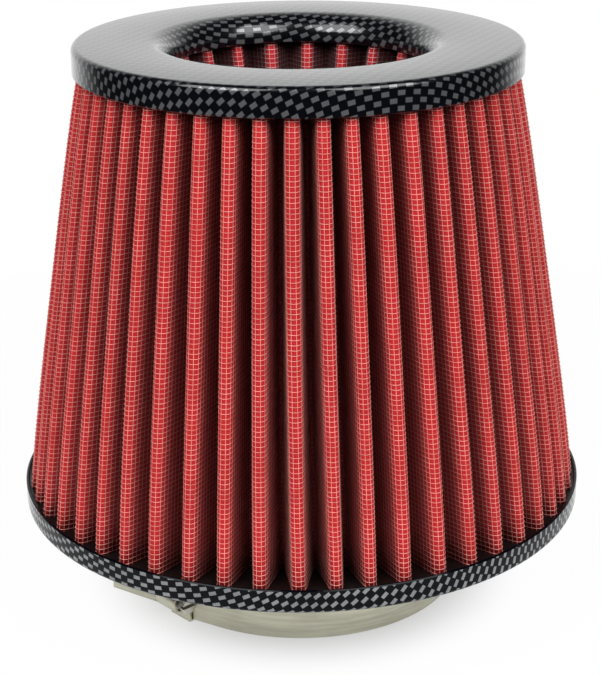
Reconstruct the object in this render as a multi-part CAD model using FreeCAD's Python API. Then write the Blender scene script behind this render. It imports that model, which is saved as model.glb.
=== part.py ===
"""Open cone air filter with an inverted inner cone, for a round intake pipe.

A thin ringed cap and a dished base hold a pleated gauze cone between them.  A second, smaller
pleated cone hangs point-down from the cap's inlet and is closed by a plug, so air comes in through
both cones and leaves through the rubber neck, which a worm-drive clamp grips on the pipe.

Frame: millimetres, +Z up along the filter's axis, origin at the centre of the neck's open end.
The front of the filter faces -Y.
"""

import FreeCAD, Part

import math
import os

Vector = FreeCAD.Vector

# Overall form
HEIGHT = 148.3
BASE_DIAMETER = 150.0
TOP_DIAMETER = 114.2

# Cap: a thin shell with a skirt outside and a rolled lip round the inlet
CAP_WALL = 0.9
CAP_RING_WIDTH = 24.9
CAP_EDGE_RADIUS = 1.5
SKIRT_HEIGHT = 7.3
LIP_ROLL_RADIUS = 6.0
LIP_STRAIGHT = 1.0

# Base: a thin dish whose rim stands round the foot of the pleats
BASE_WALL = 0.9
RIM_HEIGHT = 6.3
RIM_EDGE_RADIUS = 1.4
POTTING_RECESS = 1.4

# Neck: a rubber sleeve with a flange bonded inside the base
NECK_BORE = 76.0
NECK_WALL = 4.0
NECK_LENGTH = 25.7
NECK_FLANGE_WIDTH = 6.0
NECK_FLANGE_THICKNESS = 2.5

# Pleated layers: gauze with wire mesh on the face that meets the dirty air
GAUZE_THICKNESS = 1.0
MESH_THICKNESS = 0.25
FOLD_INNER_RADIUS = 0.35
CREST_FACETS = 4
ROOT_FACETS = 2
PLEAT_TUCK = 1.0
OUTER_PLEAT_COUNT = 50
OUTER_CREST_ANGLE = 269.0
INNER_PLEAT_COUNT = 22
INNER_PLEAT_DEPTH = 7.0
INNER_CREST_ANGLE = 86.0
INNER_CONE_LENGTH = 66.0
INNER_END_DIAMETER = 36.0
PACK_AIR_GAP = 2.0

# Plug that closes the point of the inner cone
PLUG_FLOOR = 4.0
PLUG_RIM_HEIGHT = 3.0
PLUG_RIM_WALL = 1.5

# Worm-drive clamp
BAND_WIDTH = 12.0
BAND_THICKNESS = 0.7
BAND_LIFT = 0.6
BAND_RAMP_LENGTH = 9.0
TAIL_LAID = 5.0
TAIL_STRAIGHT = 20.0
TAIL_SPRING = 20.0
SLOT_PITCH = 2.2
SLOT_WIDTH = 1.0
SLOT_LENGTH = 5.0
SLOT_SLANT = 7.0
CLAMP_ANGLE = 223.0
HOUSING_LENGTH = 7.6
HOUSING_WALL = 0.7
HOUSING_LEG_WALL = 0.5
SCREW_RADIUS = 2.4
SCREW_NECK_RADIUS = 1.7
SCREW_TIP_RADIUS = 1.2
SCREW_TIP_REACH = 0.8
HEAD_ACROSS_FLATS = 4.4
HEAD_THICKNESS = 2.4
HEAD_CHAMFER = 0.35
HEAD_SLOT_WIDTH = 0.9
HEAD_SLOT_DEPTH = 1.2

# Clearances
FIT_GAP = 0.2
BOND_GAP = 0.1
LAYER_GAP = 0.06
RUN_GAP = 0.08

# Levels
base_bottom = NECK_LENGTH
base_floor = base_bottom + BASE_WALL
rim_top = base_bottom + RIM_HEIGHT
pleat_bottom = rim_top - POTTING_RECESS
skirt_bottom = HEIGHT - SKIRT_HEIGHT
pleat_top = skirt_bottom + PLEAT_TUCK
cap_underside = HEIGHT - CAP_WALL
lip_roll_bottom = HEIGHT - LIP_ROLL_RADIUS
lip_bottom = lip_roll_bottom - LIP_STRAIGHT
inner_bottom = pleat_top - INNER_CONE_LENGTH

# Radii of the shells
top_radius = TOP_DIAMETER / 2
skirt_inside = top_radius - CAP_WALL
inlet_radius = top_radius - CAP_RING_WIDTH
lip_outside = inlet_radius + CAP_WALL
base_radius = BASE_DIAMETER / 2
rim_inside = base_radius - BASE_WALL
neck_inside = NECK_BORE / 2
neck_outside = neck_inside + NECK_WALL
flange_radius = neck_outside + NECK_FLANGE_WIDTH

# Pleats: half the gauze, the middle of a fold, and how far a fold's crest stands from its centre
gauze_half = GAUZE_THICKNESS / 2
mesh_outer = gauze_half + MESH_THICKNESS
fold_middle = mesh_outer + FOLD_INNER_RADIUS

# Each cone's pleat count, the angle of an outer fold, and the facets of its outer and inner folds
OUTER_PACK = (OUTER_PLEAT_COUNT, OUTER_CREST_ANGLE, CREST_FACETS, ROOT_FACETS)
INNER_PACK = (
    INNER_PLEAT_COUNT, INNER_CREST_ANGLE - 180 / INNER_PLEAT_COUNT, ROOT_FACETS, CREST_FACETS
)


def radius_above(radius_at_level, level, far_radius, far_level, target):
    """Radius at target height on the straight line through two points of a cone."""
    slope = (radius_at_level - far_radius) / (level - far_level)
    return far_radius + slope * (target - far_level)


outer_crest_bottom = rim_inside - FIT_GAP
outer_crest_top = radius_above(
    skirt_inside - FIT_GAP, skirt_bottom, outer_crest_bottom, pleat_bottom, pleat_top
)
inner_crest_bottom = INNER_END_DIAMETER / 2
inner_crest_top = radius_above(
    lip_outside + FIT_GAP, lip_bottom, inner_crest_bottom, inner_bottom, pleat_top
)
outer_pleat_depth = outer_crest_top - inner_crest_top - INNER_PLEAT_DEPTH - PACK_AIR_GAP

# Radii and levels of the clamp, measured from the filter's axis
band_inside = neck_outside + LAYER_GAP
tail_inside = band_inside + BAND_THICKNESS + LAYER_GAP
tail_outside = tail_inside + BAND_THICKNESS
band_middle = BAND_LIFT + BAND_WIDTH / 2
screw_axis = tail_outside + SCREW_RADIUS + FIT_GAP
head_corner = HEAD_ACROSS_FLATS / math.sqrt(3)
barrel_inside = SCREW_RADIUS + FIT_GAP
housing_half = HOUSING_LENGTH / 2


def revolve(edges):
    """Solid made by turning a closed outline in the XZ plane about the Z axis."""
    face = Part.Face(Part.Wire(edges))
    return face.revolve(Vector(0, 0, 0), Vector(0, 0, 1), 360)


def outline(points):
    """Edges of a closed outline in the XZ plane from (radius, height) points.

    A point given as (radius, height, "arc", radius, height) is reached by an arc through the
    middle point named last.
    """
    edges = []
    start = points[-1]
    for point in points:
        a = Vector(start[0], 0, start[1])
        b = Vector(point[0], 0, point[1])
        if len(point) > 2:
            middle = Vector(point[3], 0, point[4])
            edges.append(Part.Arc(a, middle, b).toShape())
        else:
            edges.append(Part.LineSegment(a, b).toShape())
        start = point
    return edges


def corner(radius, height, size, turn):
    """Middle point of a quarter round about a centre; turn is its direction in degrees."""
    angle = math.radians(turn)
    return radius + size * math.cos(angle), height + size * math.sin(angle)


def ring(inside, outside, low, high):
    """Plain ring between two radii and two heights."""
    return revolve(outline([(inside, low), (outside, low), (outside, high), (inside, high)]))


# Cap and base
def lip_outline(inner_edge):
    """Outline points up the outside of the lip and over its roll, to the cap's underside."""
    roll_inside = LIP_ROLL_RADIUS - CAP_WALL
    middle = corner(inlet_radius + LIP_ROLL_RADIUS, lip_roll_bottom, roll_inside, 135)
    return [
        (lip_outside, inner_edge),
        (lip_outside, lip_roll_bottom),
        (inlet_radius + LIP_ROLL_RADIUS, cap_underside, "arc", *middle),
    ]


def make_top_cap():
    edge = corner(top_radius - CAP_EDGE_RADIUS, HEIGHT - CAP_EDGE_RADIUS, CAP_EDGE_RADIUS, 45)
    roll = corner(inlet_radius + LIP_ROLL_RADIUS, lip_roll_bottom, LIP_ROLL_RADIUS, 135)
    return revolve(
        outline(
            [
                (skirt_inside, skirt_bottom),
                (top_radius, skirt_bottom),
                (top_radius, HEIGHT - CAP_EDGE_RADIUS),
                (top_radius - CAP_EDGE_RADIUS, HEIGHT, "arc", *edge),
                (inlet_radius + LIP_ROLL_RADIUS, HEIGHT),
                (inlet_radius, lip_roll_bottom, "arc", *roll),
                (inlet_radius, lip_bottom),
                *lip_outline(lip_bottom),
                (skirt_inside, cap_underside),
            ]
        )
    )


def make_top_potting():
    """Cast ring that fills the cap's channel and holds the upper ends of both cones."""
    fill = ring(inlet_radius, skirt_inside, pleat_top, cap_underside)
    inside_lip = revolve(
        outline([(0, lip_bottom), *lip_outline(lip_bottom), (0, cap_underside)])
    )
    return fill.cut(inside_lip)


def make_base_cap():
    hole = neck_outside + BOND_GAP
    edge = corner(base_radius - RIM_EDGE_RADIUS, base_bottom + RIM_EDGE_RADIUS, RIM_EDGE_RADIUS, -45)
    return revolve(
        outline(
            [
                (hole, base_bottom),
                (base_radius - RIM_EDGE_RADIUS, base_bottom),
                (base_radius, base_bottom + RIM_EDGE_RADIUS, "arc", *edge),
                (base_radius, rim_top),
                (rim_inside, rim_top),
                (rim_inside, base_floor),
                (hole, base_floor),
            ]
        )
    )


def make_bottom_potting():
    """Cast ring on the base's floor that holds the lower end of the outer cone."""
    return ring(flange_radius + BOND_GAP, rim_inside, base_floor, pleat_bottom)


def make_neck_sleeve():
    flange_top = base_floor + NECK_FLANGE_THICKNESS
    return revolve(
        outline(
            [
                (neck_inside, 0),
                (neck_outside, 0),
                (neck_outside, base_floor),
                (flange_radius, base_floor),
                (flange_radius, flange_top),
                (neck_inside, flange_top),
            ]
        )
    )


# Pleats
def fold_points(centre, radius, middle, reach, facets):
    """Corners of one fold about its centre, from middle minus reach to middle plus reach."""
    angles = [middle - reach + 2 * reach * k / facets for k in range(facets + 1)]
    return [centre + Vector(math.cos(a), math.sin(a), 0) * radius for a in angles]


def pleat_wire(pack, outer_centre, inner_centre, offset, height):
    """Closed zigzag of folds, offset outwards from the middle of the layer.

    Folds turn about centres on two circles, in a few flat facets each.  A flank is the straight
    line that touches a fold on the outer circle and the next one on the inner circle.
    """
    count, first_angle, outer_facets, inner_facets = pack
    half_pitch = math.pi / count
    outer = Vector(outer_centre, 0, 0)
    inner = Vector(inner_centre * math.cos(half_pitch), inner_centre * math.sin(half_pitch), 0)
    along = inner - outer
    lean = 2 * fold_middle / along.Length
    along.normalize()
    across = Vector(along.y, -along.x, 0)
    normal = along * lean + across * math.sqrt(1 - lean * lean)
    leave = math.atan2(normal.y, normal.x)
    crest = fold_points(outer, fold_middle + offset, 0, leave, outer_facets)
    root = fold_points(
        inner, fold_middle - offset, math.pi + half_pitch, half_pitch - leave, inner_facets
    )
    corners = []
    for k in range(count):
        angle = math.radians(first_angle) + 2 * half_pitch * k
        c = math.cos(angle)
        s = math.sin(angle)
        corners += [Vector(p.x * c - p.y * s, p.x * s + p.y * c, height) for p in crest + root]
    return Part.makePolygon(corners + corners[:1])


def pleated_layer(pack, sections, inside, outside):
    """Closed pleated wall between two offsets; sections are (outer, inner, height) of the folds."""
    walls = []
    for offset in (outside, inside):
        wires = [pleat_wire(pack, outer, inner, offset, height) for outer, inner, height in sections]
        walls.append(Part.makeLoft(wires, True, True))
    return walls[0].cut(walls[1])


def outer_sections():
    """Fold centres of the outer cone: its crests are its outermost wires."""
    crest_to_centre = fold_middle + mesh_outer
    root_to_centre = fold_middle + gauze_half
    return [
        (crest - crest_to_centre, crest - outer_pleat_depth + root_to_centre, height)
        for crest, height in ((outer_crest_bottom, pleat_bottom), (outer_crest_top, pleat_top))
    ]


def inner_sections():
    """Fold centres of the inverted cone: its crests are its innermost wires."""
    crest_to_centre = fold_middle + mesh_outer
    root_to_centre = fold_middle + gauze_half
    return [
        (crest + INNER_PLEAT_DEPTH - root_to_centre, crest + crest_to_centre, height)
        for crest, height in ((inner_crest_bottom, inner_bottom), (inner_crest_top, pleat_top))
    ]


def make_outer_pleats():
    return pleated_layer(OUTER_PACK, outer_sections(), -gauze_half, gauze_half)


def make_outer_mesh():
    return pleated_layer(OUTER_PACK, outer_sections(), gauze_half, mesh_outer)


def make_inner_pleats():
    return pleated_layer(INNER_PACK, inner_sections(), -gauze_half, gauze_half)


def make_inner_mesh():
    return pleated_layer(INNER_PACK, inner_sections(), -mesh_outer, -gauze_half)


def make_inner_cone_plug():
    """Shallow cast cup that closes the lower end of the inverted cone."""
    pleat_outside = radius_above(
        inner_crest_top, pleat_top, inner_crest_bottom, inner_bottom, inner_bottom + PLUG_RIM_HEIGHT
    )
    rim_bore = pleat_outside + INNER_PLEAT_DEPTH + FIT_GAP
    rim_outside = rim_bore + PLUG_RIM_WALL
    return revolve(
        outline(
            [
                (0, inner_bottom - PLUG_FLOOR),
                (rim_outside, inner_bottom - PLUG_FLOOR),
                (rim_outside, inner_bottom + PLUG_RIM_HEIGHT),
                (rim_bore, inner_bottom + PLUG_RIM_HEIGHT),
                (rim_bore, inner_bottom),
                (0, inner_bottom),
            ]
        )
    )


# Clamp, drawn with its screw housing on +X and its screw head towards +Y, then turned into place
def at_clamp(shape):
    """The clamp piece turned about the axis to where the housing sits."""
    turned = shape.copy()
    turned.rotate(Vector(0, 0, 0), Vector(0, 0, 1), CLAMP_ANGLE)
    return turned


def on_circle(radius, angle):
    """Point on a circle about the axis, at the band's lower edge."""
    return Vector(radius * math.cos(angle), radius * math.sin(angle), BAND_LIFT)


def arc_edge(radius, start, end):
    """Arc about the axis at the band's lower edge."""
    middle = (start + end) / 2
    points = [on_circle(radius, angle) for angle in (start, middle, end)]
    return Part.Arc(*points).toShape()


def line_edge(start, end):
    return Part.LineSegment(start, end).toShape()


def make_clamp_band():
    """One strip: once round the neck, up a ramp over its own start, and off as a sprung tail."""
    climb_end = math.asin((housing_half + BAND_THICKNESS) / tail_outside)
    climb_start = climb_end + BAND_RAMP_LENGTH / band_inside
    bend = -TAIL_LAID / tail_inside
    heading = bend + math.radians(TAIL_SPRING)
    leaving = Vector(math.sin(heading), -math.cos(heading), 0) * TAIL_STRAIGHT
    full_turn = 2 * math.pi
    edges = []
    for rise, forward in ((0, True), (BAND_THICKNESS, False)):
        low = band_inside + rise
        high = tail_inside + rise
        path = [
            arc_edge(low, full_turn, full_turn / 2 + climb_start),
            arc_edge(low, full_turn / 2 + climb_start, climb_start),
            line_edge(on_circle(low, climb_start), on_circle(high, climb_end)),
            arc_edge(high, climb_end, bend),
            line_edge(on_circle(high, bend), on_circle(high, bend) + leaving),
        ]
        edges.append(path if forward else path[::-1])
    start_cap = line_edge(on_circle(band_inside + BAND_THICKNESS, 0), on_circle(band_inside, 0))
    end_cap = line_edge(
        on_circle(tail_inside, bend) + leaving, on_circle(tail_outside, bend) + leaving
    )
    wire = Part.Wire(Part.__sortEdges__([*edges[0], end_cap, *edges[1], start_cap]))
    strip = Part.Face(wire).extrude(Vector(0, 0, BAND_WIDTH))
    return at_clamp(strip.cut(Part.makeCompound(tail_slots())))


def tail_slots():
    """Cutters for the slanted slots that the worm's thread runs in."""
    cutters = []
    reach = BAND_THICKNESS + LAYER_GAP
    count = int((TAIL_LAID + TAIL_STRAIGHT - SLOT_PITCH) / SLOT_PITCH)
    for k in range(count):
        cutter = Part.makeBox(reach, SLOT_WIDTH, SLOT_LENGTH)
        cutter.translate(Vector(tail_inside - LAYER_GAP / 2, -SLOT_WIDTH / 2, -SLOT_LENGTH / 2))
        cutter.rotate(Vector(0, 0, 0), Vector(1, 0, 0), SLOT_SLANT)
        laid = min(k * SLOT_PITCH, TAIL_LAID)
        cutter.translate(Vector(0, laid - k * SLOT_PITCH, band_middle))
        if k * SLOT_PITCH > TAIL_LAID:
            cutter.rotate(Vector(tail_inside, 0, 0), Vector(0, 0, 1), TAIL_SPRING)
        cutter.rotate(Vector(0, 0, 0), Vector(0, 0, 1), -math.degrees(laid / tail_inside))
        cutters.append(cutter)
    return cutters


def housing_section():
    """Outline, across the screw, of the sheet that arches over it and folds round the band."""
    foot = tail_outside + FIT_GAP / 2
    leg_end = neck_outside + FIT_GAP
    barrel_outside = barrel_inside + HOUSING_WALL
    leg_inside = BAND_WIDTH / 2 + BOND_GAP
    leg_outside = leg_inside + HOUSING_LEG_WALL
    shoulder = foot + HOUSING_WALL

    def point(x, across):
        return Vector(x, -housing_half, band_middle + across)

    outer_corners = [
        point(leg_end, leg_outside),
        point(shoulder, leg_outside),
        point(shoulder, barrel_outside),
        point(screw_axis, barrel_outside),
    ]
    inner_corners = [
        point(leg_end, leg_inside),
        point(foot, leg_inside),
        point(foot, barrel_inside),
        point(screw_axis, barrel_inside),
    ]

    def other_side(corners):
        return [Vector(p.x, p.y, 2 * band_middle - p.z) for p in corners]

    def run(points):
        return [line_edge(a, b) for a, b in zip(points, points[1:])]

    edges = []
    for corners, size in ((outer_corners, barrel_outside), (inner_corners, barrel_inside)):
        far = other_side(corners)
        top = point(screw_axis + size, 0)
        edges += run(corners)
        edges.append(Part.Arc(corners[-1], top, far[-1]).toShape())
        edges += run(far)
    edges.append(line_edge(outer_corners[0], inner_corners[0]))
    edges.append(line_edge(other_side(outer_corners)[0], other_side(inner_corners)[0]))
    return Part.Face(Part.Wire(Part.__sortEdges__(edges)))


def screw_rod(radius, start, end):
    """Round length of the screw between two places along its axis."""
    return Part.makeCylinder(
        radius, end - start, Vector(screw_axis, start, band_middle), Vector(0, 1, 0)
    )


def make_clamp_housing():
    sheet = housing_section().extrude(Vector(0, HOUSING_LENGTH, 0))
    end_wall = screw_rod(barrel_inside, -housing_half, -housing_half + HOUSING_WALL)
    tip_hole = screw_rod(SCREW_TIP_RADIUS + RUN_GAP, -housing_half - HOUSING_WALL, housing_half)
    return at_clamp(sheet.fuse(end_wall.cut(tip_hole)).removeSplitter())


def head_start():
    """Where the head begins: past the round band, which by there has fallen clear of its corners."""
    fallen_to = screw_axis - head_corner - FIT_GAP
    clear = math.sqrt(max(tail_outside**2 - fallen_to**2, 0))
    return max(clear, housing_half + FIT_GAP)


def make_clamp_screw():
    """Worm with a slotted hexagon head; its thread form is left plain."""
    worm_start = -housing_half + HOUSING_WALL + FIT_GAP
    worm_end = housing_half - HOUSING_WALL
    tip_start = -housing_half - SCREW_TIP_REACH
    head_at = head_start()
    corners = [
        Vector(
            screw_axis + head_corner * math.cos(math.radians(60 * k)),
            head_at,
            band_middle + head_corner * math.sin(math.radians(60 * k)),
        )
        for k in range(7)
    ]
    head = Part.Face(Part.makePolygon(corners)).extrude(Vector(0, HEAD_THICKNESS, 0))
    cone = Part.makeCone(
        head_corner + HEAD_THICKNESS,
        head_corner - HEAD_CHAMFER,
        HEAD_THICKNESS + HEAD_CHAMFER,
        Vector(screw_axis, head_at - HEAD_CHAMFER, band_middle),
        Vector(0, 1, 0),
    )
    slot = Part.makeBox(
        2 * HEAD_ACROSS_FLATS,
        HEAD_SLOT_DEPTH,
        HEAD_SLOT_WIDTH,
        Vector(
            screw_axis - HEAD_ACROSS_FLATS,
            head_at + HEAD_THICKNESS - HEAD_SLOT_DEPTH,
            band_middle - HEAD_SLOT_WIDTH / 2,
        ),
    )
    rods = [
        screw_rod(SCREW_TIP_RADIUS, tip_start, worm_start),
        screw_rod(SCREW_RADIUS, worm_start, worm_end),
        screw_rod(SCREW_NECK_RADIUS, worm_end, head_at),
    ]
    screw = head.common(cone).cut(slot)
    for rod in rods:
        screw = screw.fuse(rod)
    return at_clamp(screw.removeSplitter())


PIECES = {
    "top_cap": make_top_cap,
    "top_potting": make_top_potting,
    "outer_pleats": make_outer_pleats,
    "outer_mesh": make_outer_mesh,
    "inner_pleats": make_inner_pleats,
    "inner_mesh": make_inner_mesh,
    "inner_cone_plug": make_inner_cone_plug,
    "bottom_potting": make_bottom_potting,
    "base_cap": make_base_cap,
    "neck_sleeve": make_neck_sleeve,
    "clamp_band": make_clamp_band,
    "clamp_housing": make_clamp_housing,
    "clamp_screw": make_clamp_screw,
}


def main():
    os.makedirs("parts", exist_ok=True)
    for name, make in PIECES.items():
        shape = make()
        shape.exportStep(os.path.join("parts", name + ".step"))
        solids = len(shape.Solids)
        print(f"{name}: {solids} solid, valid {shape.isValid()}, {shape.Volume:.0f} mm3")


main()
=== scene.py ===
"""Dresses the cone air filter: printed shells, red gauze, woven wire and a plated clamp."""

import math

import bmesh
import bpy
from mathutils import Matrix, Vector


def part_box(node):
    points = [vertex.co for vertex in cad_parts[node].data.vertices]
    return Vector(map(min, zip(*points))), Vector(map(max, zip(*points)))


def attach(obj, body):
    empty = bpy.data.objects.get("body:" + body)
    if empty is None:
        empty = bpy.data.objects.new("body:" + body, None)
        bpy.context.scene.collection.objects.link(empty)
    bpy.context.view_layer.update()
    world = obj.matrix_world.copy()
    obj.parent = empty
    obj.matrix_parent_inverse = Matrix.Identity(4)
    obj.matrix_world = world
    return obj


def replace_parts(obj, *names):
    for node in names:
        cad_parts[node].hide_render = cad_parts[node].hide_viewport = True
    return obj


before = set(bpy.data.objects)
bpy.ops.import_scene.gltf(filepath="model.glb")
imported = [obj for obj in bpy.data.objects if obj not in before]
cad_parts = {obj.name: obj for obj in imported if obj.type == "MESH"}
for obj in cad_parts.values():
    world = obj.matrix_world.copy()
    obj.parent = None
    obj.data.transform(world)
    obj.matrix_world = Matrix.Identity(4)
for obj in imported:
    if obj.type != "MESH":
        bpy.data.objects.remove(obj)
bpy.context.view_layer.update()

MM = 0.001
TURN = 2 * math.pi

# The camera's place, its tilt from straight down, and its lens
CAMERA_PLACE = (0, -0.4381, 0.23204)
CAMERA_TILT = math.radians(69.433)
CAMERA_ROLL = math.radians(-0.45)
CAMERA_LENS = 93.0
SENSOR = 36.0

# Levels and radii that the frame gives, and the neck's outside
CAP_LOW, CAP_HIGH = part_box("top_cap")
BASE_LOW, BASE_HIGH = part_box("base_cap")
CAP_TOP = CAP_HIGH.z
CAP_RADIUS = CAP_HIGH.x
LIP_BOTTOM = CAP_LOW.z
BASE_BOTTOM = BASE_LOW.z
RIM_TOP = BASE_HIGH.z
BASE_RADIUS = BASE_HIGH.x
OUTER_LOW, OUTER_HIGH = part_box("outer_mesh")
INNER_LOW, INNER_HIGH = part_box("inner_mesh")
NECK_RADIUS = 42.0 * MM
NECK_GAP = 0.1 * MM

# Sections of the shells
SHELL_WALL = 0.9 * MM
SKIRT_HEIGHT = 7.3 * MM
CAP_EDGE = 1.5 * MM
CAP_RING_WIDTH = 24.9 * MM
LIP_ROLL = 6.0 * MM
RIM_EDGE = 1.4 * MM
THIN_EDGE = 0.25 * MM
SPIN_STEPS = 256
ARC_STEPS = 8
SHELL_SHARP = math.radians(40)

# Printed film: its black ground, then the size of a cell of the check, its turn about the axis,
# the ink, the lacquer's index and the gleam under the lacquer
FILM_BLACK = (0.0012, 0.0016, 0.003)
FILM_PULL = (6.0 * MM, 6.0 * MM, 0.0)
CAP_CELL = (2.05 * MM, 1.8 * MM, 1.0)
CAP_TURN = math.radians(-23)
CAP_INK = (0.17, 0.175, 0.185)
CAP_LACQUER = 1.4
CAP_GLEAM = 0.12
CAP_FILM_MIDDLE = 47.0 * MM
BASE_CELL = (2.05 * MM, 1.5 * MM, 1.0)
BASE_TURN = math.radians(34)
# the base's ink is lighter than the cap's: partly its own print, partly painted light for the floor's
# bounce on the rim
BASE_INK_AND_BOUNCE = (0.29, 0.30, 0.31)
BASE_LACQUER = 1.2
BASE_GLEAM = 0.0

# Layers of the pleats
GAUZE = 1.0 * MM
GAUZE_THREAD = 0.42 * MM
MESH_WALL = 0.25 * MM
FOLD_MIDDLE = 1.1 * MM
MESH_MIDDLE = 0.6 * MM
WIRE_RADIUS = 0.085 * MM
WIRE_PITCH = 1.22 * MM
WIRE_DIP = 0.1 * MM
LEVELS = 12
CREST_STEPS = 8
ROOT_STEPS = 4

# Unevenness of hand folding: degrees, waves round the cone and phase of each drift, and the folds' bow
FOLD_DRIFTS = ((0.30, 7, 0.6), (0.22, 13, 2.0))
FOLD_BOW = math.radians(0.35)
BOW_WAVES = 9

# Colours of the gauze, of the wire on it and of the clamp; the sunk colours are painted shade down in the
# folds
GAUZE_SHADE = (0.27, 0.006, 0.009)
GAUZE_RED = (0.54, 0.014, 0.018)
GAUZE_OILED = (0.33, 0.006, 0.009)
OUTER_FOLD_SHADE_RED = (0.18, 0.010, 0.012)
INNER_FOLD_SHADE_RED = (0.016, 0.002, 0.003)
# clean, oiled and sunk tints of the wire; the sunk tint is painted shade down in the folds
OUTER_WIRE_AND_SHADE_TINTS = ((0.86, 0.38, 0.33), (0.68, 0.24, 0.20), (0.18, 0.065, 0.055))
INNER_WIRE_AND_SHADE_TINTS = ((0.80, 0.55, 0.55), (0.64, 0.38, 0.38), (0.016, 0.009, 0.009))
CLAMP_TINT = (0.55, 0.535, 0.425)
SCREW_TINT = (0.64, 0.62, 0.56)
SMUDGE_TINT = (0.42, 0.38, 0.30)

# Broken edges of the carried-over solids
STRIP_BREAK = 0.12 * MM
SCREW_BREAK = 0.15 * MM
RUBBER_BREAK = 0.5 * MM
NEARLY_FLAT = math.radians(1)
SHARP_CORNER = math.radians(40)
SHADE_CORNER = math.radians(35)

# Studio: floor, reach of the shadow that is kept, light of the room, and the two soft boxes
FLOOR_RADIUS = 0.36
FLOOR_DROP = 0.1 * MM
SHADOW_REACH = (34.0 * MM, 62.0 * MM)
WHITE_REACH = (0.1, 0.3)
ROOM_LIGHT = 0.22
FRONT_GLOSS = 0.02
BOX_SIDE = 42
BOX_RISE = 42
BOX_DISTANCE = 1.0
BOX_SIZE = (0.65, 0.65)
BOX_POWER = 8.4
AIM_HEIGHT = 0.08


class Pack:
    """One pleated cone and its folds at any height.

    swell is how far the folds bulge between their ends.  spread is how many degrees the folds at the
    sides move towards the back, at the foot and at the head; the head also twists by half its own.
    """

    def __init__(self, count, first, low, high, crests, depth, crest_outside, swell, spread):
        self.count = count
        self.first = math.radians(first)
        self.low = low
        self.high = high
        self.crests = crests
        self.depth = depth
        self.crest_outside = crest_outside
        self.swell = swell
        self.spread = spread
        self.slant = math.hypot(high - low, crests[1] - crests[0])

    def centres(self, v):
        """Radii of the circles that the outer and inner folds turn about, at share v of the height."""
        crest = self.crests[0] + (self.crests[1] - self.crests[0]) * v
        crest += self.swell * (1 - (2 * v - 1) ** 4)
        tip = FOLD_MIDDLE + GAUZE / 2 + MESH_WALL
        back = FOLD_MIDDLE + GAUZE / 2
        if self.crest_outside:
            return crest - tip, crest - self.depth + back
        return crest + self.depth - back, crest + tip

    def fold(self, v, offset):
        """Points of one pleat, from the middle of an outer fold to the next, before it is turned."""
        outer, inner = self.centres(v)
        half = math.pi / self.count
        big = FOLD_MIDDLE + offset
        small = FOLD_MIDDLE - offset
        a = Vector((outer, 0))
        b = Vector((inner * math.cos(half), inner * math.sin(half)))
        along = (b - a).normalized()
        lean = 2 * FOLD_MIDDLE / (b - a).length
        normal = along * lean + Vector((along.y, -along.x)) * math.sqrt(1 - lean * lean)
        leave = math.atan2(normal.y, normal.x)
        meet = math.atan2(-normal.y, -normal.x)
        root_mid = half + math.pi
        points = []
        for k in range(CREST_STEPS // 2 + 1):
            t = leave * 2 * k / CREST_STEPS
            points.append(a + Vector((math.cos(t), math.sin(t))) * big)
        swing = (meet - root_mid + math.pi) % TURN - math.pi
        for k in range(ROOT_STEPS + 1):
            t = root_mid + swing * (1 - 2 * k / ROOT_STEPS)
            points.append(b + Vector((math.cos(t), math.sin(t))) * small)
        after = [mirror(p, half) for p in points[: CREST_STEPS // 2 + 1]]
        return points + after[::-1][:-1]

    def place(self, point, k, v):
        """A point of pleat k turned to its place, with the unevenness and lean of hand folding."""
        angle = math.atan2(point.y, point.x) + self.first + TURN * k / self.count
        drift = sum(size * math.sin(waves * angle + phase) for size, waves, phase in FOLD_DRIFTS)
        angle += math.radians(drift)
        angle += FOLD_BOW * math.sin(BOW_WAVES * angle) * v * (1 - v) * 2
        foot, head = self.spread
        angle += math.radians(foot + (head - foot) * v) * math.cos(angle)
        angle -= math.radians(head / 2) * v
        radius = point.length
        z = self.low + (self.high - self.low) * v
        return Vector((radius * math.cos(angle), radius * math.sin(angle), z))

    def ring(self, v, offset):
        """The whole closed zigzag at share v of the height."""
        fold = self.fold(v, offset)
        return [self.place(p, k, v) for k in range(self.count) for p in fold]


def mirror(point, half):
    """The point mirrored in the line at angle half."""
    angle = 2 * half - math.atan2(point.y, point.x)
    return Vector((math.cos(angle), math.sin(angle))) * point.length


OUTER = Pack(
    count=50,
    first=269.0,
    low=OUTER_LOW.z,
    high=OUTER_HIGH.z,
    crests=(73.9 * MM, 55.84 * MM),
    depth=13.37 * MM,
    crest_outside=True,
    swell=0.7 * MM,
    spread=(-1.0, 1.7),
)
INNER_COUNT = 22
INNER = Pack(
    count=INNER_COUNT,
    first=86.0 - 180 / INNER_COUNT,
    low=INNER_LOW.z,
    high=INNER_HIGH.z,
    crests=(18.0 * MM, 33.46 * MM),
    depth=7.0 * MM,
    crest_outside=False,
    swell=0.0,
    spread=(0.0, 0.0),
)


# Node helpers
def put(tree, kind, inputs=None, **settings):
    """A node with its settings; inputs are values or the sockets that feed them."""
    node = tree.nodes.new(kind)
    for name, value in settings.items():
        setattr(node, name, value)
    for name, value in (inputs or {}).items():
        socket = node.inputs[name]
        if isinstance(value, bpy.types.NodeSocket):
            tree.links.new(value, socket)
        else:
            socket.default_value = value
    return node


def sums(tree, operation, a, b=0.0, clamp=False):
    """The result of one Math node."""
    return put(tree, "ShaderNodeMath", {0: a, 1: b}, operation=operation, use_clamp=clamp).outputs[0]


def ramp(tree, value, low, high, to_low=0.0, to_high=1.0):
    """A smooth step from to_low to to_high as value goes from low to high."""
    node = put(
        tree,
        "ShaderNodeMapRange",
        {"Value": value, "From Min": low, "From Max": high, "To Min": to_low, "To Max": to_high},
        interpolation_type="SMOOTHSTEP",
    )
    return node.outputs["Result"]


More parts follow.
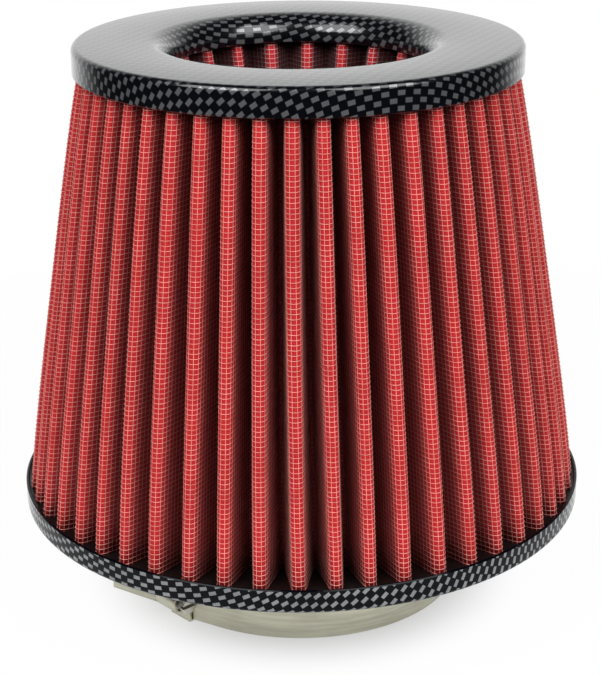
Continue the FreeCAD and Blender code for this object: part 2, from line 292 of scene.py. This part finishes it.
def blend_colour(tree, share, a, b):
    """Colour a where share is 0 and colour b where it is 1."""
    node = put(tree, "ShaderNodeMix", data_type="RGBA")
    for socket, value in ((node.inputs["Factor"], share), (node.inputs[6], a), (node.inputs[7], b)):
        if isinstance(value, bpy.types.NodeSocket):
            tree.links.new(value, socket)
        elif socket.type == "RGBA":
            socket.default_value = (*value, 1)
        else:
            socket.default_value = value
    return node.outputs[2]


def noise(tree, place, scale, detail=2.0, roughness=0.5):
    """Grey noise at the given scale."""
    node = put(
        tree,
        "ShaderNodeTexNoise",
        {"Vector": place, "Scale": scale, "Detail": detail, "Roughness": roughness},
    )
    return node.outputs["Fac"]


def object_place(tree):
    """The piece's own coordinates, in metres."""
    return put(tree, "ShaderNodeTexCoord").outputs["Object"]


def new_group(name, takes, gives):
    """An empty shader node group with named inputs and outputs."""
    group = bpy.data.node_groups.new(name, "ShaderNodeTree")
    for socket, kind in takes:
        group.interface.new_socket(socket, in_out="INPUT", socket_type=kind)
    for socket, kind in gives:
        group.interface.new_socket(socket, in_out="OUTPUT", socket_type=kind)
    return group, group.nodes.new("NodeGroupInput").outputs, group.nodes.new("NodeGroupOutput").inputs


def use_group(tree, group, **inputs):
    """The outputs of a group that is placed in the material with its own values."""
    node = put(tree, "ShaderNodeGroup", node_tree=group)
    for name, value in inputs.items():
        socket = node.inputs[name.replace("_", " ").capitalize()]
        if isinstance(value, bpy.types.NodeSocket):
            tree.links.new(value, socket)
        else:
            socket.default_value = value
    return node.outputs


VALUE = "NodeSocketFloat"
VECTOR = "NodeSocketVector"


def film_print_group():
    """Printed check on a film that was laid flat over a ring and folded down its sides."""
    group, given, out = new_group(
        "film print",
        [("Place", VECTOR), ("Level", VALUE), ("Middle", VALUE), ("Cell", VECTOR), ("Turn", VALUE)],
        [("Light", VALUE), ("Threads", VALUE), ("Flat", VALUE)],
    )
    parts = put(group, "ShaderNodeSeparateXYZ", {"Vector": given["Place"]}).outputs
    flat = put(group, "ShaderNodeCombineXYZ", {"X": parts["X"], "Y": parts["Y"]}).outputs[0]
    radius = put(group, "ShaderNodeVectorMath", {0: flat}, operation="LENGTH").outputs["Value"]
    outside = sums(group, "GREATER_THAN", radius, given["Middle"])
    side = sums(group, "SUBTRACT", sums(group, "MULTIPLY", outside, 2.0), 1.0)
    drop = sums(group, "ABSOLUTE", sums(group, "SUBTRACT", parts["Z"], given["Level"]))
    along = sums(group, "ADD", radius, sums(group, "MULTIPLY", side, drop))
    stretch = sums(group, "DIVIDE", along, radius)
    film = put(group, "ShaderNodeVectorMath", {0: flat, "Scale": stretch}, operation="SCALE").outputs[0]
    cloud = put(group, "ShaderNodeTexNoise", {"Vector": flat, "Scale": 14.0, "Detail": 1.0})
    drawn = {0: cloud.outputs["Color"], 1: FILM_PULL, 2: film}
    pulled = put(group, "ShaderNodeVectorMath", drawn, operation="MULTIPLY_ADD").outputs[0]
    turned = put(
        group,
        "ShaderNodeVectorRotate",
        {"Vector": pulled, "Angle": given["Turn"]},
        rotation_type="Z_AXIS",
    ).outputs[0]
    cells = put(group, "ShaderNodeVectorMath", {0: turned, 1: given["Cell"]}, operation="DIVIDE").outputs[0]
    uv = put(group, "ShaderNodeSeparateXYZ", {"Vector": cells}).outputs
    row = sums(group, "ADD", sums(group, "FLOOR", uv["X"]), sums(group, "FLOOR", uv["Y"]))
    chosen = sums(group, "FLOORED_MODULO", row, 2.0)
    across = sums(group, "ABSOLUTE", sums(group, "SUBTRACT", sums(group, "FRACT", uv["X"]), 0.5))
    upward = sums(group, "ABSOLUTE", sums(group, "SUBTRACT", sums(group, "FRACT", uv["Y"]), 0.5))
    inside = sums(group, "MULTIPLY", ramp(group, across, 0.49, 0.42), ramp(group, upward, 0.36, 0.28))
    group.links.new(sums(group, "MULTIPLY", inside, chosen), out["Light"])
    wave = sums(group, "SINE", sums(group, "MULTIPLY", uv["X"], TURN * 5))
    group.links.new(sums(group, "MULTIPLY", wave, 0.5), out["Threads"])
    group.links.new(ramp(group, drop, 0.1 * MM, 0.9 * MM, 1.0, 0.0), out["Flat"])
    return group


def fold_depth_group():
    """How deep a point lies in the folds of a cone: 0 on the crests, 1 at the roots."""
    group, given, out = new_group(
        "fold depth",
        [("Place", VECTOR), ("Low", VALUE), ("High", VALUE), ("Low crest", VALUE), ("High crest", VALUE)]
        + [("Depth", VALUE)],
        [("Share", VALUE)],
    )
    parts = put(group, "ShaderNodeSeparateXYZ", {"Vector": given["Place"]}).outputs
    flat = put(group, "ShaderNodeCombineXYZ", {"X": parts["X"], "Y": parts["Y"]}).outputs[0]
    radius = put(group, "ShaderNodeVectorMath", {0: flat}, operation="LENGTH").outputs["Value"]
    crest = put(
        group,
        "ShaderNodeMapRange",
        {
            "Value": parts["Z"],
            "From Min": given["Low"],
            "From Max": given["High"],
            "To Min": given["Low crest"],
            "To Max": given["High crest"],
        },
        clamp=False,
    ).outputs["Result"]
    sunk = sums(group, "ABSOLUTE", sums(group, "SUBTRACT", crest, radius))
    group.links.new(sums(group, "DIVIDE", sunk, given["Depth"], clamp=True), out["Share"])
    return group


FILM_PRINT = film_print_group()
FOLD_DEPTH = fold_depth_group()


def new_material(name):
    """A material with its node tree and its one Principled shader."""
    material = bpy.data.materials.new(name)
    material.use_nodes = True
    tree = material.node_tree
    return material, tree, tree.nodes["Principled BSDF"]


def feed(tree, shader, **inputs):
    """Sets or links the shader's sockets by name."""
    sockets = {socket.name.lower(): socket for socket in shader.inputs}
    for name, value in inputs.items():
        socket = sockets[name.replace("_", " ")]
        if isinstance(value, bpy.types.NodeSocket):
            tree.links.new(value, socket)
        elif socket.type == "RGBA":
            socket.default_value = (*value, 1)
        else:
            socket.default_value = value


def bump(tree, height, strength, distance):
    """The normal of a surface that is raised by height."""
    node = put(tree, "ShaderNodeBump", {"Height": height, "Strength": strength, "Distance": distance})
    return node.outputs["Normal"]


def printed_shell(name, level, middle, cell, turn, ink, lacquer, gleam, film_end):
    """Clear lacquer over a check printed on black in silver ink, up to the height film_end."""
    material, tree, shader = new_material(name)
    place = object_place(tree)
    printed = use_group(tree, FILM_PRINT, place=place, level=level, middle=middle, cell=cell, turn=turn)
    mottled = ramp(tree, noise(tree, place, 90.0, 3.0), 0.3, 0.7, 0.72, 1.0)
    share = sums(tree, "MULTIPLY", printed["Light"], mottled)
    threads = ramp(tree, printed["Threads"], -0.5, 0.5, 0.75, 1.0)
    faint = ramp(tree, printed["Flat"], 0.0, 1.0, 1.0, 0.25)
    share = sums(tree, "MULTIPLY", sums(tree, "MULTIPLY", share, threads), faint)
    height = put(tree, "ShaderNodeSeparateXYZ", {"Vector": place}).outputs["Z"]
    share = sums(tree, "MULTIPLY", share, sums(tree, "LESS_THAN", height, film_end))
    colour = blend_colour(tree, share, FILM_BLACK, ink)
    metal = sums(tree, "MULTIPLY", share, 0.65)
    peel = noise(tree, place, 700.0, 1.0)
    normal = bump(tree, peel, 0.06, 0.3 * MM)
    feed(tree, shader, base_color=colour, metallic=metal, roughness=0.28, normal=normal)
    feed(tree, shader, specular_ior_level=gleam, coat_weight=1.0, coat_roughness=0.1, coat_ior=lacquer)
    tree.links.new(normal, shader.inputs["Coat Normal"])
    return material


def fold_depth(tree, place, pack):
    """The share of the way from the pack's crests to its roots."""
    return use_group(
        tree,
        FOLD_DEPTH,
        place=place,
        low=pack.low,
        high=pack.high,
        low_crest=pack.crests[0],
        high_crest=pack.crests[1],
        depth=pack.depth,
    )["Share"]


def red_gauze(name, pack, sunk):
    """Oiled cotton gauze: a fine open weave, with painted shade darkening it towards the roots of the
    folds.
    """
    material, tree, shader = new_material(name)
    run = put(tree, "ShaderNodeAttribute", attribute_name="run").outputs["Fac"]
    rise = put(tree, "ShaderNodeAttribute", attribute_name="rise").outputs["Fac"]
    warp = sums(tree, "SINE", sums(tree, "MULTIPLY", run, TURN / GAUZE_THREAD))
    weft = sums(tree, "SINE", sums(tree, "MULTIPLY", rise, TURN / GAUZE_THREAD))
    weave = sums(tree, "MAXIMUM", warp, weft)
    place = object_place(tree)
    oil = ramp(tree, noise(tree, place, 60.0, 3.0), 0.35, 0.7)
    thread = ramp(tree, weave, -0.4, 0.9)
    dry = blend_colour(tree, thread, GAUZE_SHADE, GAUZE_RED)
    colour = blend_colour(tree, sums(tree, "MULTIPLY", oil, 0.35), dry, GAUZE_OILED)
    # painted shade: darker from the crests towards the roots of the folds, down to the sunk colour
    fold_shade = ramp(tree, fold_depth(tree, place, pack), 0.0, 0.28, 0.0, 0.94)
    colour = blend_colour(tree, fold_shade, colour, sunk)
    normal = bump(tree, weave, 0.5, 0.06 * MM)
    feed(tree, shader, base_color=colour, roughness=0.75, normal=normal, specular_ior_level=0.25)
    return material


def bright_wire(name, pack, clean, oiled, sunk):
    """Drawn aluminium wire under a patchy film of red oil, with painted shade darkening it towards the
    roots of the folds.
    """
    material, tree, shader = new_material(name)
    place = object_place(tree)
    oil = ramp(tree, noise(tree, place, 240.0, 3.0), 0.35, 0.75)
    colour = blend_colour(tree, oil, clean, oiled)
    # painted shade: darker from the crests towards the roots of the folds, down to the sunk tint
    fold_shade = ramp(tree, fold_depth(tree, place, pack), 0.0, 0.3, 0.0, 0.88)
    colour = blend_colour(tree, fold_shade, colour, sunk)
    rough = ramp(tree, oil, 0.0, 1.0, 0.4, 0.55)
    feed(tree, shader, base_color=colour, metallic=0.35, roughness=rough, specular_ior_level=0.3)
    return material


def plated_steel(name, tint, streak_scale):
    """Rolled and plated strip, with faint streaks along it and finger smudges."""
    material, tree, shader = new_material(name)
    place = object_place(tree)
    squeezed = put(tree, "ShaderNodeMapping", {"Vector": place, "Scale": (0.06, 0.06, 1.0)}).outputs[0]
    streak = noise(tree, squeezed, streak_scale, 4.0, 0.65)
    smudge = noise(tree, place, 110.0, 4.0, 0.6)
    shade = tuple(0.78 * c for c in tint)
    colour = blend_colour(tree, ramp(tree, streak, 0.3, 0.7), shade, tint)
    colour = blend_colour(tree, ramp(tree, smudge, 0.45, 0.75, 0.0, 0.3), colour, SMUDGE_TINT)
    rough = ramp(tree, smudge, 0.3, 0.75, 0.26, 0.44)
    normal = bump(tree, streak, 0.12, 0.04 * MM)
    feed(tree, shader, base_color=colour, metallic=1.0, roughness=rough, normal=normal)
    return material


def black_rubber(name):
    """Moulded rubber with a fine grain and a pale bloom in patches."""
    material, tree, shader = new_material(name)
    place = object_place(tree)
    grain = noise(tree, place, 1400.0, 3.0, 0.6)
    bloom = ramp(tree, noise(tree, place, 45.0, 3.0), 0.45, 0.8, 0.0, 0.5)
    colour = blend_colour(tree, bloom, (0.012, 0.012, 0.013), (0.035, 0.034, 0.033))
    normal = bump(tree, grain, 0.25, 0.08 * MM)
    feed(tree, shader, base_color=colour, roughness=0.62, normal=normal)
    return material


def shaded_potting():
    """Cast resin, brown but darkened nearly to black: partly its own colour, partly painted shade where it
    shows between the pleats; its skin has varying gloss.
    """
    material, tree, shader = new_material("shaded_potting")
    place = object_place(tree)
    patch = noise(tree, place, 120.0, 4.0, 0.6)
    # painted shade: the resin's brown is kept nearly black, so that where it shows between the pleats it
    # reads as shade
    colour = blend_colour(tree, ramp(tree, patch, 0.35, 0.7), (0.005, 0.002, 0.002), (0.013, 0.006, 0.005))
    rough = ramp(tree, patch, 0.3, 0.7, 0.55, 0.3)
    normal = bump(tree, noise(tree, place, 420.0, 3.0), 0.4, 0.3 * MM)
    feed(tree, shader, base_color=colour, roughness=rough, normal=normal)
    return material


# Mesh helpers
def finished(name, bm, material, smooth=True):
    """A new object from the bmesh, in the scene and with its material."""
    mesh = bpy.data.meshes.new(name)
    bm.to_mesh(mesh)
    bm.free()
    mesh.materials.append(material)
    if smooth:
        mesh.shade_smooth()
    thing = bpy.data.objects.new(name, mesh)
    bpy.context.scene.collection.objects.link(thing)
    return thing


def round_to(centre, size, start, end):
    """Points on a quarter round in the XZ plane; angles in degrees."""
    steps = [start + (end - start) * k / ARC_STEPS for k in range(ARC_STEPS + 1)]
    return [
        (centre[0] + size * math.cos(math.radians(t)), centre[1] + size * math.sin(math.radians(t)))
        for t in steps
    ]


def spun(name, section, material):
    """A closed section in the XZ plane, spun right round the axis."""
    bm = bmesh.new()
    verts = [bm.verts.new((r, 0, z)) for r, z in section]
    edges = [bm.edges.new((verts[k - 1], verts[k])) for k in range(len(verts))]
    bmesh.ops.spin(
        bm,
        geom=verts + edges,
        cent=(0, 0, 0),
        axis=(0, 0, 1),
        angle=TURN,
        steps=SPIN_STEPS,
        use_merge=True,
    )
    bmesh.ops.remove_doubles(bm, verts=bm.verts, dist=1e-7)
    bmesh.ops.recalc_face_normals(bm, faces=bm.faces)
    thing = finished(name, bm, material)
    thing.data.set_sharp_from_angle(angle=SHELL_SHARP)
    return thing


def make_cap():
    """The cap: skirt, small round edge, flat ring and rolled lip, all one thin wall."""
    inlet = CAP_RADIUS - CAP_RING_WIDTH
    skirt_bottom = CAP_TOP - SKIRT_HEIGHT
    inner_edge = CAP_EDGE - SHELL_WALL
    lip_centre = (inlet + LIP_ROLL, CAP_TOP - LIP_ROLL)
    edge_centre = (CAP_RADIUS - CAP_EDGE, CAP_TOP - CAP_EDGE)
    section = [
        (CAP_RADIUS - SHELL_WALL, skirt_bottom),
        (CAP_RADIUS - THIN_EDGE, skirt_bottom),
        (CAP_RADIUS, skirt_bottom + THIN_EDGE),
        *round_to(edge_centre, CAP_EDGE, 0, 90),
        *round_to(lip_centre, LIP_ROLL, 90, 180),
        (inlet, LIP_BOTTOM + THIN_EDGE),
        (inlet + THIN_EDGE, LIP_BOTTOM),
        (inlet + SHELL_WALL, LIP_BOTTOM),
        *round_to(lip_centre, LIP_ROLL - SHELL_WALL, 180, 90),
        *round_to(edge_centre, inner_edge, 90, 0),
    ]
    lacquer = (CAP_INK, CAP_LACQUER, CAP_GLEAM)
    film_end = CAP_TOP + MM
    film = printed_shell("cap_print", CAP_TOP, CAP_FILM_MIDDLE, CAP_CELL, CAP_TURN, *lacquer, film_end)
    cap = spun("cap_shell", section, film)
    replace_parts(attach(cap, "filter"), "top_cap")


def make_base():
    """The base: a thin dish whose rim stands round the foot of the pleats."""
    hole = NECK_RADIUS + NECK_GAP
    inner_edge = RIM_EDGE - SHELL_WALL
    edge_centre = (BASE_RADIUS - RIM_EDGE, BASE_BOTTOM + RIM_EDGE)
    section = [
        (hole, BASE_BOTTOM),
        *round_to(edge_centre, RIM_EDGE, -90, 0),
        (BASE_RADIUS, RIM_TOP - THIN_EDGE),
        (BASE_RADIUS - THIN_EDGE, RIM_TOP),
        (BASE_RADIUS - SHELL_WALL + THIN_EDGE, RIM_TOP),
        (BASE_RADIUS - SHELL_WALL, RIM_TOP - THIN_EDGE),
        *round_to(edge_centre, inner_edge, 0, -90),
        (hole, BASE_BOTTOM + SHELL_WALL),
    ]
    lacquer = (BASE_INK_AND_BOUNCE, BASE_LACQUER, BASE_GLEAM)
    film_end = RIM_TOP - THIN_EDGE
    film = printed_shell("base_print", BASE_BOTTOM, 0.0, BASE_CELL, BASE_TURN, *lacquer, film_end)
    base = spun("base_shell", section, film)
    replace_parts(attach(base, "filter"), "base_cap")


def make_gauze(name, pack, node, material):
    """The folded gauze: one zigzag loop drawn up level by level, then given its thickness."""
    bm = bmesh.new()
    run_layer = bm.verts.layers.float.new("run")
    rise_layer = bm.verts.layers.float.new("rise")
    points = pack.ring(0.0, GAUZE / 2)
    verts = [bm.verts.new(p) for p in points]
    run = 0.0
    for k, vert in enumerate(verts):
        run += (points[k] - points[k - 1]).length if k else 0.0
        vert[run_layer] = run
    edges = [bm.edges.new((verts[k - 1], verts[k])) for k in range(len(verts))]
    loop = verts
    for level in range(1, LEVELS + 1):
        v = level / LEVELS
        grown = bmesh.ops.extrude_edge_only(bm, edges=edges)["geom"]
        edges = [e for e in grown if isinstance(e, bmesh.types.BMEdge)]
        fresh = {part for part in grown if isinstance(part, bmesh.types.BMVert)}
        above = {u: e.other_vert(u) for u in loop for e in u.link_edges if e.other_vert(u) in fresh}
        loop = [above[u] for u in loop]
        for vert, p in zip(loop, pack.ring(v, GAUZE / 2)):
            vert.co = p
            vert[rise_layer] = pack.slant * v
    bmesh.ops.recalc_face_normals(bm, faces=bm.faces)
    bmesh.ops.solidify(bm, geom=bm.faces[:], thickness=GAUZE)
    gauze = finished(name, bm, material)
    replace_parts(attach(gauze, "filter"), node)


def wire_piece(name, paths, closed, node, material):
    """Wires along the paths, as one mesh of fine four-sided rods."""
    curve = bpy.data.curves.new(name, "CURVE")
    curve.dimensions = "3D"
    curve.bevel_depth = WIRE_RADIUS
    curve.bevel_resolution = 0
    curve.use_fill_caps = True
    curve.twist_mode = "Z_UP" if closed else "MINIMUM"
    for path in paths:
        spline = curve.splines.new("POLY")
        spline.points.add(len(path) - 1)
        spline.points.foreach_set("co", [c for p in path for c in (*p, 1.0)])
        spline.use_cyclic_u = closed
    drawn = bpy.data.objects.new(name + "_line", curve)
    bpy.context.scene.collection.objects.link(drawn)
    mesh = bpy.data.meshes.new_from_object(drawn.evaluated_get(bpy.context.evaluated_depsgraph_get()))
    bpy.data.objects.remove(drawn)
    bpy.data.curves.remove(curve)
    mesh.name = name
    mesh.materials.clear()
    mesh.materials.append(material)
    mesh.shade_smooth()
    wires = bpy.data.objects.new(name, mesh)
    bpy.context.scene.collection.objects.link(wires)
    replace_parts(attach(wires, "filter"), node)


def along_fold(fold, count):
    """Places at even steps along one pleat, as (index, share) pairs on its polyline."""
    lengths = [(b - a).length for a, b in zip(fold, fold[1:])]
    step = sum(lengths) / count
    places = []
    done = 0.0
    index = 0
    for k in range(count):
        goal = (k + 0.5) * step
        while done + lengths[index] < goal:
            done += lengths[index]
            index += 1
        places.append((index, (goal - done) / lengths[index]))
    return places


def make_mesh(name, pack, node, material, bands):
    """Woven wire on the gauze: hoops that follow the folds, and straight wires up them."""
    face = MESH_MIDDLE if pack.crest_outside else -MESH_MIDDLE
    hoops = round(pack.slant / WIRE_PITCH)
    inset = 0.5 / hoops
    shares = [inset + (1 - 2 * inset) * k / (hoops - 1) for k in range(hoops)]
    for band in range(bands):
        part = shares[band * hoops // bands : (band + 1) * hoops // bands]
        wire_piece(f"{name}_hoops_{band + 1}", [pack.ring(v, face) for v in part], True, node, material)
    middle = pack.fold(0.5, face)
    middle_length = sum((b - a).length for a, b in zip(middle, middle[1:]))
    uprights = round(middle_length / WIRE_PITCH)
    under = face - WIRE_DIP if pack.crest_outside else face + WIRE_DIP
    paths = [[] for _ in range(pack.count * uprights)]
    for level in range(LEVELS + 1):
        v = level / LEVELS
        fold = pack.fold(v, under)
        fold.append(mirror(mirror(fold[0], 0), math.pi / pack.count))
        spots = [fold[i].lerp(fold[i + 1], share) for i, share in along_fold(fold, uprights)]
        for k in range(pack.count):
            for n, spot in enumerate(spots):
                paths[k * uprights + n].append(pack.place(spot, k, v))
    wire_piece(f"{name}_uprights", paths, False, node, material)


def dress(node, material):
    """A carried-over solid with a finished material."""
    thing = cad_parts[node]
    thing.data.materials.clear()
    thing.data.materials.append(material)


def softened(name, node, body, material, bevel):
    """A copy of a solid with its sharp edges broken, which replaces it."""
    bm = bmesh.new()
    bm.from_mesh(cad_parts[node].data)
    bmesh.ops.remove_doubles(bm, verts=bm.verts, dist=1e-6)
    bmesh.ops.dissolve_limit(bm, angle_limit=NEARLY_FLAT, verts=bm.verts, edges=bm.edges)
    sharp = [e for e in bm.edges if len(e.link_faces) == 2 and e.calc_face_angle() > SHARP_CORNER]
    bmesh.ops.bevel(
        bm,
        geom=sharp,
        offset=bevel,
        affect="EDGES",
        segments=2,
        profile=0.5,
        clamp_overlap=True,
        material=-1,
    )
    thing = finished(name, bm, material)
    thing.data.set_sharp_from_angle(angle=SHADE_CORNER)
    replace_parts(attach(thing, body), node)


# Studio
def seen_plainly(tree):
    """1 for rays from the camera and for mirror images, 0 for light that falls on surfaces."""
    path = put(tree, "ShaderNodeLightPath").outputs
    seen = sums(tree, "MAXIMUM", path["Is Camera Ray"], path["Is Glossy Ray"])
    return sums(tree, "MAXIMUM", seen, path["Is Transmission Ray"])


def make_floor():
    """Round pale floor that keeps the filter's shadow near it and is plain white further out."""
    bm = bmesh.new()
    below = Matrix.Translation((0, 0, -FLOOR_DROP))
    bmesh.ops.create_circle(bm, cap_ends=True, segments=96, radius=FLOOR_RADIUS, matrix=below)
    material, tree, shader = new_material("pale_floor")
    feed(tree, shader, base_color=(0.9, 0.9, 0.9), roughness=0.9, specular_ior_level=0.1)
    away = put(tree, "ShaderNodeVectorMath", {0: object_place(tree)}, operation="LENGTH").outputs["Value"]
    pale = ramp(tree, away, *SHADOW_REACH, 0.4, 0.97)
    pale = sums(tree, "MAXIMUM", pale, ramp(tree, away, *WHITE_REACH, 0.0, 1.0))
    share = sums(tree, "MULTIPLY", pale, seen_plainly(tree))
    white = put(tree, "ShaderNodeEmission", {"Color": (1, 1, 1, 1), "Strength": 1.0}).outputs[0]
    mixed = put(tree, "ShaderNodeMixShader", {0: share, 1: shader.outputs[0], 2: white}).outputs[0]
    tree.links.new(mixed, tree.nodes["Material Output"].inputs["Surface"])
    floor = finished("floor", bm, material)


def make_world(ambient, front_gloss):
    """White for the camera, white behind the filter in reflections but dim in front, soft light."""
    world = bpy.data.worlds.new("studio")
    bpy.context.scene.world = world
    world.use_nodes = True
    tree = world.node_tree
    path = put(tree, "ShaderNodeLightPath").outputs
    direction = put(tree, "ShaderNodeTexCoord").outputs["Generated"]
    toward = put(tree, "ShaderNodeSeparateXYZ", {"Vector": direction}).outputs
    mirrored = ramp(tree, toward["Y"], 0.4, 0.9, front_gloss, 1.0)
    plain = sums(tree, "MAXIMUM", path["Is Camera Ray"], path["Is Transmission Ray"])
    unmirrored = sums(tree, "MAXIMUM", plain, ambient)
    choice = {0: path["Is Glossy Ray"], 2: unmirrored, 3: mirrored}
    strength = put(tree, "ShaderNodeMix", choice).outputs[0]
    back = tree.nodes["Background"]
    back.inputs["Color"].default_value = (1, 1, 1, 1)
    tree.links.new(strength, back.inputs["Strength"])


def make_lamp(name, azimuth, elevation, distance, size, power):
    """Soft box that faces the filter; azimuth 0 is the camera's side."""
    lamp = bpy.data.lights.new(name, "AREA")
    lamp.shape = "RECTANGLE"
    lamp.size, lamp.size_y = size
    lamp.energy = power
    thing = bpy.data.objects.new(name, lamp)
    bpy.context.scene.collection.objects.link(thing)
    a = math.radians(azimuth)
    e = math.radians(elevation)
    aim = Vector((0, 0, AIM_HEIGHT))
    away = Vector((math.sin(a) * math.cos(e), -math.cos(a) * math.cos(e), math.sin(e)))
    thing.location = aim + away * distance
    thing.rotation_euler = away.to_track_quat("Z", "Y").to_euler()


def make_camera():
    """The camera, fitted to the photograph's view of the filter."""
    camera = bpy.data.cameras.new("camera")
    camera.lens = CAMERA_LENS
    camera.sensor_width = SENSOR
    camera.clip_start = 0.01
    thing = bpy.data.objects.new("camera", camera)
    thing.location = CAMERA_PLACE
    turn = Matrix.Rotation(CAMERA_TILT, 3, "X") @ Matrix.Rotation(CAMERA_ROLL, 3, "Z")
    thing.rotation_euler = turn.to_euler()
    bpy.context.scene.collection.objects.link(thing)
    bpy.context.scene.camera = thing


make_camera()
make_floor()
make_world(ROOM_LIGHT, FRONT_GLOSS)
make_lamp("left_box", -BOX_SIDE, BOX_RISE, BOX_DISTANCE, BOX_SIZE, BOX_POWER)
make_lamp("right_box", BOX_SIDE, BOX_RISE, BOX_DISTANCE, BOX_SIZE, BOX_POWER)

make_cap()
make_base()
OUTER_RED = red_gauze("outer_gauze", OUTER, OUTER_FOLD_SHADE_RED)
INNER_RED = red_gauze("inner_gauze", INNER, INNER_FOLD_SHADE_RED)
OUTER_WIRE = bright_wire("outer_wire", OUTER, *OUTER_WIRE_AND_SHADE_TINTS)
INNER_WIRE = bright_wire("inner_wire", INNER, *INNER_WIRE_AND_SHADE_TINTS)
make_gauze("outer_gauze", OUTER, "outer_pleats", OUTER_RED)
make_gauze("inner_gauze", INNER, "inner_pleats", INNER_RED)
make_mesh("outer_wire", OUTER, "outer_mesh", OUTER_WIRE, 3)
make_mesh("inner_wire", INNER, "inner_mesh", INNER_WIRE, 1)

CLAMP_STEEL = plated_steel("clamp_steel", CLAMP_TINT, 900.0)
SCREW_STEEL = plated_steel("screw_steel", SCREW_TINT, 500.0)
softened("strap", "clamp_band", "filter", CLAMP_STEEL, STRIP_BREAK)
softened("screw_housing", "clamp_housing", "filter", CLAMP_STEEL, STRIP_BREAK)
softened("worm_screw", "clamp_screw", "screw", SCREW_STEEL, SCREW_BREAK)
softened("neck", "neck_sleeve", "filter", black_rubber("neck_rubber"), RUBBER_BREAK)
softened("cone_plug", "inner_cone_plug", "filter", black_rubber("plug_rubber"), RUBBER_BREAK)
SHADED_POTTING = shaded_potting()
dress("top_potting", SHADED_POTTING)
dress("bottom_potting", SHADED_POTTING)

bpy.context.scene.view_settings.view_transform = "Standard"
